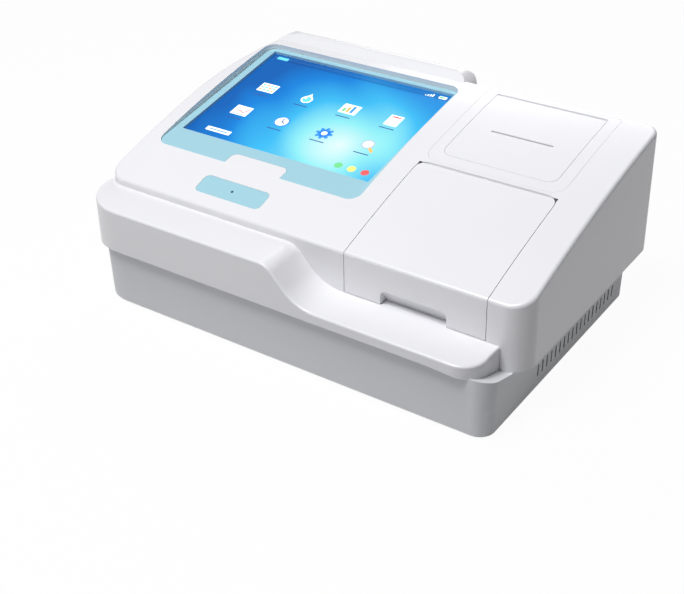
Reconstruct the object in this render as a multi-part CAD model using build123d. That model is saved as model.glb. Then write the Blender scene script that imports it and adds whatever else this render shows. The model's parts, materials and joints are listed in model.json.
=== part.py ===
from build123d import *
import os
from math import asin, atan2, cos, degrees, hypot, pi, radians, sin, sqrt, tan

# Microplate reader: a bench instrument that measures 96-well plates and prints the result.
# Millimetres, +Z up, front toward -Y, origin on the bench under the middle of the casing.

# Casing
cover_width = 460.0
cover_depth = 263.0  # front face of the top cover to its rear wall
base_height = 45.5  # bottom edge of the base to the rim of the top cover
face_height = 64.1  # rim to the front edge of the deck
deck_rise = 61.6  # front edge of the deck to its rear edge
deck_crown = 6.9  # bulge of the deck over its chord
foot_height = 3.0
wall = 3.0
seam = 0.2  # gap between two casing shells
edge_round = 3.5
fascia_edge_round = 2.2
front_corner = 21.5
rear_corner = 15.0
flank_start = 130.0  # where the left flank starts to curve inward
flank_radius = 430.0

# Rear ridge behind the screen
ridge_reach = 18.0
ridge_height = 6.6  # crest over the rear edge of the deck
ridge_round = 9.9
ridge_slope = 37.0
ridge_foot = 5.0  # ridge's front foot to the rear edge of the deck
ridge_end_x = 31.0
ridge_end_round = 25.0
ridge_left_round = 55.0
ridge_left_crest = 47.0  # crest starts this far from the left side

# Front fascia: a high part on the left that sweeps down to a ledge under the lid
shelf_reach = 44.5
shelf_step = 6.9  # front edge of the deck over the top of the fascia
ledge_drop = 33.7  # top of the fascia over the ledge
ledge_lip = 10.0  # height of the ledge's front edge
sweep_x = 0.0  # where the sweep leaves the top of the fascia
sweep_angle = 48.0
sweep_top_round = 20.0
sweep_foot_round = 45.0
shelf_left_round = 50.0
shelf_right_round = 43.0
ledge_right_gap = 22.5  # ledge's right end to the right side of the cover
wrap_depth = 14.0  # how far the fascia runs back past the cover's left corner

# Base
base_inset = 12.0  # each side of the base inside the side of the cover
base_front_inset = 6.5
base_rear_inset = 19.6
base_left_round = 36.0
base_right_round = 15.0
base_draft = 1.5
vent_count = 19
vent_pitch = 8.6
vent_width = 2.6
vent_height = 12.5
vent_foot = 11.0
vent_first = 53.5

# Plate lid
lid_width = 141.0
lid_depth = 126.8
lid_right_gap = 36.7  # lid to the right side of the cover
lid_gap = 0.6
lid_corner = 11.0
hinge_depth = 4.0
hinge_pin_radius = 1.25
ear_radius = 2.5
ear_gap = 0.3
running_gap = 0.05
grip_width = 66.0
grip_height = 14.0
grip_depth = 9.0
grip_lip = 1.5

# Screen
screen_right_gap = 25.3  # bezel to the plate lid
screen_rear_gap = 14.4  # bezel to the rear edge of the deck, measured along the bench
screen_left_gap = 18.3
screen_front = 56.1  # front edge of the bezel behind the cover's front face
screen_slope = 10.8
screen_front_drop = 0.9  # bezel under the deck at its front edge
screen_corner = 12.0
bezel_thick = 3.0
window_left = 8.8
window_right = 6.3
window_front = 30.7
window_rear = 5.5
notch_width = 66.0
notch_depth = 17.0

# Status badge
badge_width = 76.2
badge_depth = 21.7
badge_front = 14.2
badge_left = 100.8
badge_round = 5.5
badge_thick = 1.6

# Printer
printer_gap = 3.6  # lid's rear edge to the printer frame
frame_width = 140.8
frame_corner = 15.0
frame_rear_gap = 6.0
frame_rim = 9.5
door_width = 116.2
door_front = 12.3
door_corner = 10.0
door_rear_gap = 4.5
slit_width = 64.0
slit_length = 2.2
slit_back = 48.8
roll_radius = 20.0
roll_width = 57.5
roll_core = 6.5

# Microplate and its carrier
plate_length = 127.8
plate_width = 85.5
plate_fit = 0.6
carrier_travel = 120.0
rod_radius = 4.0
well_pitch = 9.0
well_columns = 12
pulley_radius = 6.0

# Boards and boxes inside the base
board_width = 170.0
board_depth = 130.0
board_thick = 1.6
board_lift = 8.0  # underside of the board over the floor
board_side_gap = 14.0
board_front_gap = 20.0
board_post_inset = 6.0
board_chips = [  # place from the board's front left corner, width, depth and height
    (40, 40, 28, 28, 3),
    (100, 30, 20, 14, 4),
    (95, 80, 34, 30, 2.5),
    (20, 100, 16, 22, 9),
    (145, 60, 14, 50, 8),
]
supply_width = 62.0
supply_depth = 110.0
supply_height = 34.0
supply_rear_gap = 32.0
supply_slots = 9
lamp_box_length = 36.0
lamp_box_height = 30.0

# Casing lines worked out from the sizes above
side_x = cover_width / 2
face_y = shelf_reach - (shelf_reach + cover_depth + ridge_reach) / 2
rear_y = face_y + cover_depth
shelf_y = face_y - shelf_reach
rim_z = foot_height + base_height
deck_front_z = rim_z + face_height
deck_rear_z = deck_front_z + deck_rise
shelf_z = deck_front_z - shelf_step
ledge_z = shelf_z - ledge_drop
lip_z = ledge_z - ledge_lip
deck_chord = hypot(cover_depth, deck_rise)
deck_radius = (deck_chord**2 / 4 + deck_crown**2) / (2 * deck_crown)
deck_lean = atan2(deck_rise, cover_depth)
deck_axis_y = (face_y + rear_y) / 2 + (deck_radius - deck_crown) * sin(deck_lean)
deck_axis_z = (deck_front_z + deck_rear_z) / 2 - (deck_radius - deck_crown) * cos(deck_lean)


def deck_z(y, depth=0.0):
    """Height of the surface that lies depth under the deck."""
    return deck_axis_z + sqrt((deck_radius - depth) ** 2 - (y - deck_axis_y) ** 2)


def box(x0, x1, y0, y1, z0, z1):
    centre = Location(((x0 + x1) / 2, (y0 + y1) / 2, (z0 + z1) / 2))
    return centre * Box(x1 - x0, y1 - y0, z1 - z0)


def across(face, x0, x1):
    """Extrude a face drawn in Y and Z from x0 to x1."""
    return extrude(Plane.YZ.offset(x0) * face, amount=x1 - x0)


def along(face, y0, y1):
    """Extrude a face drawn in X and Z from y0 to y1."""
    return extrude(Plane.XZ.offset(-y1) * face, amount=y1 - y0)


def upward(face, z0, z1, taper=0.0):
    """Extrude a face drawn in X and Y from z0 to z1."""
    return extrude(Plane.XY.offset(z0) * face, amount=z1 - z0, taper=taper)


def polygon(*points):
    return make_face(Polyline(*points, close=True))


def rounded(x0, x1, y0, y1, *radii):
    """Rectangle whose corners are rounded: front left, front right, rear right, rear left."""
    face = polygon((x0, y0), (x1, y0), (x1, y1), (x0, y1))
    for (x, y), radius in zip([(x0, y0), (x1, y0), (x1, y1), (x0, y1)], radii):
        if radius > 0:
            corner = face.vertices().sort_by_distance((x, y, 0))[0]
            face = fillet(corner, radius)
    return face


def rod_x(radius, x0, x1, y, z):
    return Location(((x0 + x1) / 2, y, z), (0, 90, 0)) * Cylinder(radius, x1 - x0)


def rod_y(radius, y0, y1, x, z):
    return Location((x, (y0 + y1) / 2, z), (90, 0, 0)) * Cylinder(radius, y1 - y0)


def rod_z(radius, z0, z1, x, y):
    return Location((x, y, (z0 + z1) / 2)) * Cylinder(radius, z1 - z0)


def under_deck(x0, x1, y0, y1, z0, depth=0.0):
    """Solid from z0 up to the surface that lies depth under the deck."""
    middle = (y0 + y1) / 2
    top = ThreePointArc(
        (y0, deck_z(y0, depth)), (middle, deck_z(middle, depth)), (y1, deck_z(y1, depth))
    )
    sides = Polyline((y1, deck_z(y1, depth)), (y1, z0), (y0, z0), (y0, deck_z(y0, depth)))
    return across(make_face([top, sides]), x0, x1)


def cover_outline():
    """Plan of the top cover, with the left flank that curves inward toward the rear."""
    bow_y = face_y + flank_start
    middle_y = (bow_y + rear_y) / 2

    def flank_x(y):
        return flank_radius - side_x - sqrt(flank_radius**2 - (y - bow_y) ** 2)

    front = Polyline(
        (flank_x(rear_y), rear_y),
        (side_x, rear_y),
        (side_x, face_y),
        (-side_x, face_y),
        (-side_x, bow_y),
    )
    bow = ThreePointArc((-side_x, bow_y), (flank_x(middle_y), middle_y), (flank_x(rear_y), rear_y))
    face = make_face([front, bow])
    corners = [
        (-side_x, face_y, front_corner), (side_x, face_y, front_corner), (side_x, rear_y, rear_corner)
    ]
    for x, y, radius in corners:
        face = fillet(face.vertices().sort_by_distance((x, y, 0))[0], radius)
    return face


def ridge_profile(inset):
    """Side view of the rear ridge, drawn inset inside its outer skin."""
    crest_z = deck_rear_z + ridge_height - inset
    back_y = rear_y + ridge_reach - inset
    start_y = rear_y - ridge_foot
    start_z = deck_z(start_y) - inset
    apex_y = start_y + (crest_z - start_z) / tan(radians(ridge_slope))
    face = polygon(
        (start_y, rim_z), (start_y, start_z), (apex_y, crest_z), (back_y, crest_z), (back_y, rim_z)
    )
    for y, z in [(apex_y, crest_z), (back_y, crest_z)]:
        face = fillet(face.vertices().sort_by_distance((y, z, 0))[0], ridge_round - inset)
    return face


def cover_core(inset):
    """Top cover as a solid, inset inside its outer skin."""
    plan = cover_outline()
    if inset > 0:
        plan = offset(plan, -inset)
    body = upward(plan, rim_z, deck_rear_z + wall)
    body &= under_deck(-side_x - 5, side_x + 5, face_y - 5, rear_y + 5, rim_z - 5, inset)
    if inset == 0:
        skin = body.faces().filter_by(GeomType.CYLINDER).sort_by(SortBy.AREA)[-1]
        body = fillet(skin.edges(), edge_round)
    flank_x = flank_radius - side_x - sqrt(flank_radius**2 - (cover_depth - flank_start) ** 2)
    ridge = across(ridge_profile(inset), flank_x + inset, ridge_end_x - inset)
    crest_z = deck_rear_z + ridge_height
    start_x = -side_x + ridge_left_crest - ridge_left_round
    end = rounded(
        start_x, ridge_end_x - inset, rim_z, crest_z - inset, 0, 0, ridge_end_round, ridge_left_round
    )
    ridge &= along(end, face_y, rear_y + ridge_reach)
    foot = rounded(
        flank_x + inset,
        ridge_end_x - inset,
        face_y,
        rear_y + ridge_reach - inset,
        0,
        0,
        ridge_reach - 4,
        ridge_reach - inset,
    )
    ridge &= upward(foot, rim_z, crest_z)
    return body + ridge


def parting_wedge(drop=0.0):
    """Everything above the sloping line where the fascia meets the base."""
    top = deck_rear_z + 50
    slope = (lip_z - rim_z) / shelf_reach
    ahead = shelf_y - 20
    start_z = lip_z + slope * (shelf_y - ahead) - drop
    back = rear_y + ridge_reach + 20
    face = polygon(
        (ahead, start_z), (face_y, rim_z - drop), (back, rim_z - drop), (back, top), (ahead, top)
    )
    return across(face, -side_x - 20, side_x + 20)


def sweep_face(inset):
    """Front view of the fascia from its left side over the sweep to the end of the ledge."""
    foot_x = sweep_x + ledge_drop / tan(radians(sweep_angle))
    end_x = side_x - ledge_right_gap
    face = polygon(
        (-side_x, rim_z),
        (-side_x, shelf_z),
        (sweep_x, shelf_z),
        (foot_x, ledge_z),
        (end_x, ledge_z),
        (end_x, rim_z),
    )
    face = fillet(face.vertices().sort_by_distance((sweep_x, shelf_z, 0))[0], sweep_top_round)
    face = fillet(face.vertices().sort_by_distance((foot_x, ledge_z, 0))[0], sweep_foot_round)
    return offset(face, -inset) if inset > 0 else face


def fascia_core(inset):
    end_x = side_x - ledge_right_gap
    plan = rounded(
        -side_x, end_x, shelf_y, face_y + wrap_depth, shelf_left_round, shelf_right_round, 0, 0
    )
    if inset > 0:
        plan = offset(plan, -inset)
    back_y = face_y + wrap_depth
    body = along(sweep_face(inset), shelf_y, back_y) & upward(plan, rim_z - 1, shelf_z + 1)
    if inset == 0:
        rim = [e for e in body.edges() if e.center().Z > ledge_z - 1 and e.center().Y < face_y - 1]
        flat = [e for e in rim if abs(e.center().X + side_x) > 0.01 or e.center().Z > shelf_z - 1]
        top = [
            e for e in flat if not (e.geom_type == GeomType.LINE and abs(e.tangent_at(0.5).X) < 0.01)
        ]
        body = fillet([e for e in top if e.center().Z > ledge_z - 0.1], fascia_edge_round)
    return body & parting_wedge(-inset)


def make_front_fascia():
    shell = fascia_core(0) - fascia_core(wall)
    shell -= box(
        -side_x + wall,
        side_x - ledge_right_gap - wall,
        face_y - wall - 1,
        face_y + wrap_depth,
        rim_z + wall,
        ledge_z - wall,
    )
    plan = cover_outline()
    shell -= upward(offset(plan, seam), rim_z - 5, shelf_z + 5)
    rib_z = ledge_z - wall
    for rib_x in (-150, -75, 0, 75, 150):
        rib = box(rib_x - 1, rib_x + 1, shelf_y + wall, face_y - seam, rim_z, rib_z + 0.5)
        shell += rib & fascia_core(wall - 0.01)
    return shell


# Places of the lid, screen, badge and printer
lid_right = side_x - lid_right_gap
lid_left = lid_right - lid_width
lid_middle = (lid_left + lid_right) / 2
lid_rear = face_y + lid_depth
hinge_y = lid_rear - hinge_depth
hinge_z = deck_z(lid_rear) - hinge_depth
frame_front = lid_rear + printer_gap
frame_rear = rear_y - frame_rear_gap
frame_left = lid_middle - frame_width / 2
frame_right = lid_middle + frame_width / 2
door_left = lid_middle - door_width / 2
door_right = lid_middle + door_width / 2
door_low = frame_front + door_front
door_rear = frame_rear - door_rear_gap
door_pin_y = door_rear - hinge_depth
door_pin_z = deck_z(door_rear) - hinge_depth
screen_width = lid_left - screen_right_gap + side_x - screen_left_gap
screen_depth = (cover_depth - screen_front - screen_rear_gap) / cos(radians(screen_slope))
window_width = screen_width - window_left - window_right
window_depth = screen_depth - window_front - window_rear
screen_x = -side_x + screen_left_gap + screen_width / 2
screen_y = face_y + screen_front
screen_z = deck_z(screen_y) - screen_front_drop
tilt = radians(screen_slope)
screen_plane = Plane(
    origin=(screen_x, screen_y, screen_z), x_dir=(1, 0, 0), z_dir=(0, -sin(tilt), cos(tilt))
)
window_x = -screen_width / 2 + window_left
badge_x = -side_x + badge_left
badge_y = face_y + badge_front


def on_screen(face, low, high):
    """Extrude a face drawn on the screen's plane between two heights over its surface."""
    return extrude(screen_plane.offset(low) * face, amount=high - low)


def lid_face(grow):
    return rounded(
        lid_left - grow,
        lid_right + grow,
        shelf_y,
        lid_rear + grow,
        0,
        0,
        lid_corner + grow,
        lid_corner + grow,
    )


def frame_face(grow):
    corner = frame_corner + grow
    return rounded(
        frame_left - grow,
        frame_right + grow,
        frame_front - grow,
        frame_rear + grow,
        corner,
        corner,
        2,
        2,
    )


def door_face(grow):
    corner = door_corner + grow
    return rounded(
        door_left - grow, door_right + grow, door_low - grow, door_rear + grow, corner, corner, 2, 2
    )


def screen_face(grow):
    half = screen_width / 2 + grow
    corner = screen_corner + grow
    return rounded(-half, half, -grow, screen_depth + grow, corner, corner, corner, corner)


def window_face(grow):
    left = window_x - grow
    right = window_x + window_width + grow
    corner = 1 + 2 * grow
    return rounded(
        left,
        right,
        window_front - grow,
        window_front + window_depth + grow,
        corner,
        corner,
        corner,
        corner,
    )


def notch_face(shrink):
    """Bare tab of the cover that is let into the front rail of the screen bezel."""
    half = notch_width / 2 - shrink
    return rounded(-half, half, -1, notch_depth - shrink, 0, 0, 7 - shrink, 7 - shrink)


def badge_face(grow):
    corner = badge_round + grow
    left = badge_x - grow
    right = badge_x + badge_width + grow
    return rounded(
        left, right, badge_y - grow, badge_y + badge_depth + grow, corner, corner, corner, corner
    )


def hinge_spans():
    """Each hinge's lid knuckle along X; its pin runs on into a cover bracket on either side."""
    reach = lid_width / 2 - lid_corner - 14
    return [(lid_middle + side * reach - 7, lid_middle + side * reach + 7) for side in (-1, 1)]


def hinge_brackets(spans, pin_y, pin_z, reach):
    """Hooked ears on either side of each knuckle: they pass under the edge that swings past them."""
    ears = []
    for low, high in spans:
        for x0 in (low - ear_gap - wall, high + ear_gap):
            eye = rod_x(ear_radius, x0, x0 + wall, pin_y, pin_z)
            arm = box(x0, x0 + wall, pin_y - ear_radius, pin_y + 0.3, pin_z - 2 * hinge_depth, pin_z)
            foot = box(
                x0,
                x0 + wall,
                pin_y - ear_radius,
                pin_y + hinge_depth + reach,
                pin_z - 2 * hinge_depth,
                pin_z - hinge_depth - 0.6,
            )
            ears.append(eye + arm + foot - rod_x(hinge_pin_radius, x0 - 1, x0 + wall + 1, pin_y, pin_z))
    return ears


def ear_clearance(spans, pin_y, pin_z):
    """Round cuts in a swinging skin over the ears of its hinge."""
    cuts = []
    for low, high in spans:
        for x0 in (low - 2 * ear_gap - wall, high):
            cuts.append(rod_x(ear_radius + ear_gap, x0, x0 + wall + 2 * ear_gap, pin_y, pin_z))
    return cuts


def make_top_cover():
    cover = cover_core(0) - cover_core(wall)
    cover -= upward(lid_face(lid_gap), ledge_z, deck_rear_z)
    cover -= upward(frame_face(seam), rim_z + 20, deck_rear_z + 10)
    cover -= on_screen(screen_face(seam), -10, 40)
    cover -= upward(badge_face(seam), shelf_z, deck_rear_z) - under_deck(
        -side_x, side_x, shelf_y, rear_y, 0, badge_thick
    )
    pocket = on_screen(screen_face(seam + 2.5), -bezel_thick - 1.5, 30) & cover_core(0.4)
    cover += pocket - on_screen(screen_face(seam), -bezel_thick - 2, 40)
    shelf = on_screen(screen_face(-1.4), -bezel_thick - 2, -bezel_thick)
    cover += on_screen(screen_face(seam + 0.1), -bezel_thick - 1.5, -bezel_thick) - shelf
    cover += on_screen(notch_face(seam), -bezel_thick - 1.5, 0)
    bed = upward(offset(badge_face(0), 3), shelf_z, deck_rear_z)
    bed &= under_deck(-side_x, 0, face_y, screen_y, 0, badge_thick) - under_deck(
        -side_x, 0, face_y, screen_y, 0, badge_thick + wall
    )
    cover += bed
    cover -= rod_x(hinge_depth + lid_gap, lid_left, lid_right, hinge_y, hinge_z)
    rail = box(
        frame_left - 3,
        frame_right + 3,
        lid_rear + lid_gap,
        frame_front - seam,
        deck_z(lid_rear) - 12,
        deck_rear_z,
    )
    cover += rail & under_deck(lid_left - 9, lid_right + 9, hinge_y - 9, frame_front + 9, 0, 0.4)
    for ear in hinge_brackets(hinge_spans(), hinge_y, hinge_z, lid_gap + 2):
        cover += ear
    for rib_x in (-195, -120, -45, 30):
        rib = box(rib_x - 1, rib_x + 1, face_y + 1, face_y + 14, rim_z + 14, deck_front_z)
        cover += rib & under_deck(-side_x, side_x, face_y, screen_y, 0, badge_thick + wall + 0.2)
    return cover


def make_plate_lid():
    skin = (cover_core(0) - cover_core(wall)) & upward(lid_face(0), ledge_z + lid_gap, deck_rear_z)
    nose = rod_x(hinge_depth, lid_left - 1, lid_right + 1, hinge_y, hinge_z)
    tail = box(lid_left - 1, lid_right + 1, hinge_y, lid_rear + 1, ledge_z, deck_rear_z)
    skin -= tail - nose
    low_z = ledge_z + lid_gap
    scoop = [
        (face_y - 1, low_z - 1),
        (face_y + grip_depth, low_z - 1),
        (face_y + grip_depth, low_z + grip_lip),
        (face_y, low_z + grip_height),
        (face_y - 1, low_z + grip_height),
    ]
    ends = rounded(
        lid_middle - grip_width / 2,
        lid_middle + grip_width / 2,
        low_z - 9,
        low_z + grip_height,
        0,
        0,
        6,
        6,
    )
    grip = across(polygon(*scoop), lid_left, lid_right) & along(ends, face_y - 2, lid_rear)
    back = [
        (face_y + 0.5, low_z),
        (face_y + grip_depth + 2, low_z),
        (face_y + grip_depth + 2, low_z + grip_lip + 2),
        (face_y + 0.5, low_z + grip_height + wall),
    ]
    pocket = across(polygon(*back), lid_middle - grip_width / 2 - 2, lid_middle + grip_width / 2 + 2)
    skin = skin + pocket - grip
    for x0 in (lid_left + 4, lid_right - 6):
        rib = box(x0, x0 + 2, face_y + wall - 1, hinge_y - 14, ledge_z + 16, deck_rear_z)
        rib &= under_deck(x0, x0 + 2, face_y, hinge_y, 0, wall - 0.5) - under_deck(
            x0 - 1, x0 + 3, face_y - 1, hinge_y + 1, 0, wall + 6
        )
        skin += rib
    for low, high in hinge_spans():
        knuckle = rod_x(hinge_depth - 0.4, low, high, hinge_y, hinge_z)
        web = box(low, high, hinge_y - 3.6, hinge_y, hinge_z, hinge_z + 3)
        knuckle = (knuckle + web) & under_deck(low, high, hinge_y - 9, lid_rear + 9, 0, 0.5)
        skin += knuckle
        skin -= rod_x(hinge_pin_radius + running_gap, low - 9, high + 9, hinge_y, hinge_z)
    for cut in ear_clearance(hinge_spans(), hinge_y, hinge_z):
        skin -= cut
    return skin


def make_hinge_pins():
    pins = []
    for low, high in hinge_spans():
        pins.append(
            rod_x(hinge_pin_radius, low - ear_gap - wall, high + ear_gap + wall, hinge_y, hinge_z)
        )
    return Compound(children=pins)


def base_face(inset):
    corner_left = base_left_round - inset
    corner_right = base_right_round - inset
    left = -side_x + base_inset + inset
    right = side_x - base_inset - inset
    front = shelf_y + base_front_inset + inset
    return rounded(
        left,
        right,
        front,
        rear_y - base_rear_inset - inset,
        corner_left,
        corner_right,
        corner_right,
        corner_left,
    )


# Places of the inner mechanism
floor_z = foot_height + wall
chassis_thick = 2.0
chassis_z = rim_z + wall + 1.5
deck_plate_z = chassis_z + chassis_thick
load_y = face_y + lid_depth / 2 - 1
carrier_half_x = plate_length / 2 + 7
carrier_half_y = plate_width / 2 + 4
rod_z_axis = deck_plate_z + rod_radius + 3.0
carrier_low = rod_z_axis + rod_radius + 1.0
carrier_thick = 6.0
pocket_depth = 3.5
carrier_top = carrier_low + carrier_thick
rod_offset = carrier_half_x - rod_radius - 5.0
block_depth = 8.0
rod_front = load_y - carrier_half_y - block_depth - 2
rod_back = load_y + carrier_travel + carrier_half_y + block_depth + 2
optics_y = load_y + carrier_travel / 2 + 23
beam_low = carrier_top + 17.0
beam_high = beam_low + 14.0
manifold_high = beam_high + 9.0
light_z = beam_high + 4.5
belt_width = 6.0
belt_thick = 1.2
belt_x = lid_middle - carrier_half_x - 7 - belt_width / 2
belt_axis_z = carrier_top - 2 - pulley_radius - belt_thick
pulley_front = rod_front + block_depth + 1
pulley_back = rod_back - block_depth / 2
wheel_radius = 27.0
filter_radius = 6.0
filter_count = 8
filter_circle = 19.0
wheel_x = -115.0
wheel_thick = 5.0
wheel_z = light_z - filter_circle
motor_size = 35.0
slit_y = door_low + slit_back
platen_radius = 5.0
platen_y = slit_y + platen_radius + 1.5
platen_z = deck_z(platen_y) - platen_radius - 8
roll_y = platen_y + platen_radius + roll_radius + 4
roll_z = deck_z(roll_y) - roll_radius - 9
tub_side_gap = 16.0
tub_left = lid_middle - roll_width / 2 - tub_side_gap
tub_right = lid_middle + roll_width / 2 + tub_side_gap
tub_front = slit_y - 16
tub_rear = roll_y + roll_radius + 4.5
tub_low = roll_z - roll_radius - 3.5
tub_wall = 2.0


# Rear of the base
back_y = rear_y - base_rear_inset
panel_x = 20.0
panel_width = 190.0
panel_height = 34.0
panel_low = floor_z + 3
panel_high = panel_low + panel_height
panel_mid = (panel_low + panel_high) / 2
panel_thick = 2.0
inlet_x = panel_x + panel_width / 2 - 22
inlet_width = 27.0
inlet_height = 20.0
switch_x = inlet_x - 30
switch_width = 13.0
switch_height = 19.4
switch_tilt = 9.0
usb_x = panel_x - panel_width / 2 + 20
serial_x = usb_x + 50
fan_size = 40.0
fan_depth = 10.0


def panel_cuts(grow):
    """Prisms that open the rear panel for what it carries."""
    y0 = back_y - 9
    y1 = back_y + 9
    cuts = []
    for x, width, height in (
        (inlet_x, inlet_width, inlet_height),
        (switch_x, switch_width, switch_height),
        (serial_x, 17.0, 9.0),
    ):
        cuts.append(
            box(
                x - width / 2 - grow,
                x + width / 2 + grow,
                y0,
                y1,
                panel_mid - height / 2 - grow,
                panel_mid + height / 2 + grow,
            ),
        )
    for x in (usb_x, usb_x + 20):
        cuts.append(
            box(x - 6.6 - grow, x + 6.6 + grow, y0, y1, panel_mid - 2.8 - grow, panel_mid + 2.8 + grow)
        )
    return cuts


def make_base_housing():
    tray = upward(base_face(0), foot_height, lip_z + 10, -base_draft)
    tray -= upward(base_face(wall), foot_height + wall, lip_z + 20, -base_draft)
    tray -= parting_wedge(seam)
    front = upward(base_face(1), foot_height + wall, lip_z + 20, -base_draft)
    front &= box(-side_x, side_x, shelf_y, face_y + wall, 0, deck_rear_z)
    tray += front & (parting_wedge(seam + wall) - parting_wedge(seam))
    flange_plan = offset(cover_outline(), -wall - seam) - base_face(wall + 1)
    flange = upward(flange_plan, rim_z - seam, rim_z + wall - seam)
    tray += flange - box(-side_x, side_x, shelf_y, face_y + wall + seam, 0, deck_rear_z)
    for side in (-1, 1):
        wall_x = side * (side_x - base_inset)
        for i in range(vent_count):
            y = face_y + vent_first + i * vent_pitch
            z0 = foot_height + vent_foot
            tray -= box(
                wall_x - 6, wall_x + 6, y - vent_width / 2, y + vent_width / 2, z0, z0 + vent_height
            )
    tray -= box(
        panel_x - panel_width / 2 - seam,
        panel_x + panel_width / 2 + seam,
        back_y,
        back_y + 9,
        panel_low - seam,
        panel_high + seam,
    )
    for cut in panel_cuts(0.6):
        tray -= cut
    return tray


def make_chassis_plate():
    plan = rounded(-side_x + 40, side_x - 22, face_y + 4, rear_y - wall - 12, 20, 4, 4, 20)
    plate = upward(plan, chassis_z, deck_plate_z)
    for x, y in chassis_posts():
        plate -= rod_z(1.7, chassis_z - 1, deck_plate_z + 1, x, y)
    for slot_x in (-150, -110, -70, -30):
        plate -= box(slot_x, slot_x + 22, face_y + 30, face_y + 90, chassis_z - 1, deck_plate_z + 1)
    return plate


def chassis_posts():
    front = face_y + 12
    back = rear_y - base_rear_inset - 18
    return [(-side_x + 62, front), (side_x - 32, front), (side_x - 32, back), (-side_x + 62, back)]


def make_chassis_posts():
    posts = []
    for x, y in chassis_posts():
        posts.append(
            rod_z(5, floor_z, chassis_z, x, y) - rod_z(1.3, chassis_z - 12, chassis_z + 1, x, y)
        )
    return Compound(children=posts)


def make_guide_rods():
    rods = [
        rod_y(rod_radius, rod_front, rod_back, lid_middle + side * rod_offset, rod_z_axis)
        for side in (-1, 1)
    ]
    return Compound(children=rods)


def make_rod_blocks():
    blocks = []
    for side in (-1, 1):
        x = lid_middle + side * rod_offset
        for y in (rod_front, rod_back - block_depth):
            half = rod_radius + 4
            block = box(
                x - half, x + half, y, y + block_depth, deck_plate_z, rod_z_axis + rod_radius + 3
            )
            block = fillet(block.edges().filter_by(Axis.Y).group_by(Axis.Z)[-1], 3)
            blocks.append(block - rod_y(rod_radius, y - 1, y + block_depth + 1, x, rod_z_axis))
    return Compound(children=blocks)


def make_plate_carrier():
    x0 = lid_middle - carrier_half_x
    x1 = lid_middle + carrier_half_x
    y0 = load_y - carrier_half_y
    y1 = load_y + carrier_half_y
    tray = upward(rounded(x0, x1, y0, y1, 6, 6, 6, 6), carrier_low, carrier_top)
    half_x = plate_length / 2 + plate_fit
    half_y = plate_width / 2 + plate_fit
    pocket = rounded(
        lid_middle - half_x, lid_middle + half_x, load_y - half_y, load_y + half_y, 3, 3, 3, 3
    )
    tray -= upward(pocket, carrier_top - pocket_depth, carrier_top + 1)
    window = rounded(
        lid_middle - half_x + 8,
        lid_middle + half_x - 8,
        load_y - half_y + 6,
        load_y + half_y - 6,
        4,
        4,
        4,
        4,
    )
    tray -= upward(window, carrier_low - 1, carrier_top + 1)
    for y in (y0, y1):
        tray -= rod_z(7, carrier_low - 1, carrier_top + 1, lid_middle, y)
    for side in (-1, 1):
        x = lid_middle + side * rod_offset
        for y in (load_y - carrier_half_y + 4, load_y + carrier_half_y - 18):
            lug = box(
                x - rod_radius - 3.5,
                x + rod_radius + 3.5,
                y,
                y + 14,
                rod_z_axis - rod_radius - 2.5,
                carrier_low,
            )
            tray = tray + lug - rod_y(rod_radius + 1.5, y - 1, y + 15, x, rod_z_axis)
    return tray


def make_carrier_bushes():
    bushes = []
    for side in (-1, 1):
        x = lid_middle + side * rod_offset
        for y in (load_y - carrier_half_y + 4, load_y + carrier_half_y - 18):
            sleeve = rod_y(rod_radius + 1.5, y, y + 14, x, rod_z_axis)
            bushes.append(sleeve - rod_y(rod_radius + running_gap, y - 1, y + 15, x, rod_z_axis))
    return Compound(children=bushes)


def belt_loop(radius, half_width):
    """Solid slab round both pulleys, as wide as the belt."""
    x0 = belt_x - half_width
    x1 = belt_x + half_width
    loop = box(x0, x1, pulley_front, pulley_back, belt_axis_z - radius, belt_axis_z + radius)
    loop += rod_x(radius, x0, x1, pulley_front, belt_axis_z)
    return loop + rod_x(radius, x0, x1, pulley_back, belt_axis_z)


def make_drive_belt():
    inner = pulley_radius + 0.3
    return belt_loop(inner + belt_thick, belt_width / 2) - belt_loop(inner, belt_width / 2 + 1)


def pulley_core(y):
    """Toothed core of a belt pulley: a star of sixteen flat-sided teeth."""
    points = []
    for i in range(32):
        radius = pulley_radius if i % 2 else pulley_radius - 0.7
        points.append((y + radius * cos(pi * i / 16), belt_axis_z + radius * sin(pi * i / 16)))
    return across(polygon(*points), belt_x - 4, belt_x + 4)


def toothed_pulley(y, bore):
    """Belt pulley between two flanges."""
    body = rod_x(pulley_radius, belt_x - 3.6, belt_x + 3.6, y, belt_axis_z)
    body -= rod_x(pulley_radius, belt_x - 3, belt_x + 3, y, belt_axis_z) - pulley_core(y)
    for low in (belt_x - 4.6, belt_x + 3.6):
        body += rod_x(pulley_radius + 2.2, low, low + 1, y, belt_axis_z)
    return body - rod_x(bore, belt_x - 6, belt_x + 6, y, belt_axis_z)


def make_motor_pulley():
    shaft = rod_x(2.5, belt_x - 16, belt_x + 4.6, pulley_back, belt_axis_z)
    return toothed_pulley(pulley_back, 2.4) + shaft


def make_idler_pulley():
    return toothed_pulley(pulley_front, 2.5 + running_gap)


def make_idler_bracket():
    y = pulley_front
    x0 = belt_x - 9
    x1 = belt_x + 5
    foot = box(x0 - 12, x0 + 2, y - 6, y + 6, deck_plate_z, deck_plate_z + 2)
    cheek = box(x0, x0 + 2, y - 6, y + 6, deck_plate_z, belt_axis_z + 5)
    cheek = fillet(cheek.edges().filter_by(Axis.X).group_by(Axis.Z)[-1], 4)
    pin = rod_x(2.5, x0, x1, y, belt_axis_z) + rod_x(3.6, x0 + 2, belt_x - 4.8, y, belt_axis_z)
    return foot + cheek + pin


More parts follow.
